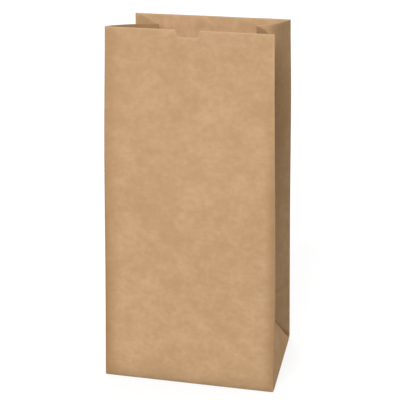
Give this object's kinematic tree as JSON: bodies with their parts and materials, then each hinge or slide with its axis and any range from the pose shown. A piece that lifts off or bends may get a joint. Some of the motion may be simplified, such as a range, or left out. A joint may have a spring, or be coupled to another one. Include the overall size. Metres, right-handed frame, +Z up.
{
  "type": "paper yard waste bag",
  "caption": "Tall open kraft paper sack for leaves and garden waste, with tucked side gussets, a folded flat base and a thumb notch in the front rim.",
  "frame": {"origin": "middle of the base's underside, on the surface that the bag stands on", "axes": "+Z up to the open mouth, -Y out of the front panel with the thumb notch, +X to the right seen from the front"},
  "size_m": [0.4054, 0.3165, 0.838],
  "materials": {
    "kraft_paper": "uncoated matt kraft"
  },
  "bodies": {
    "root": {"paper_bag": "kraft_paper"}
  },
  "joints": []
}
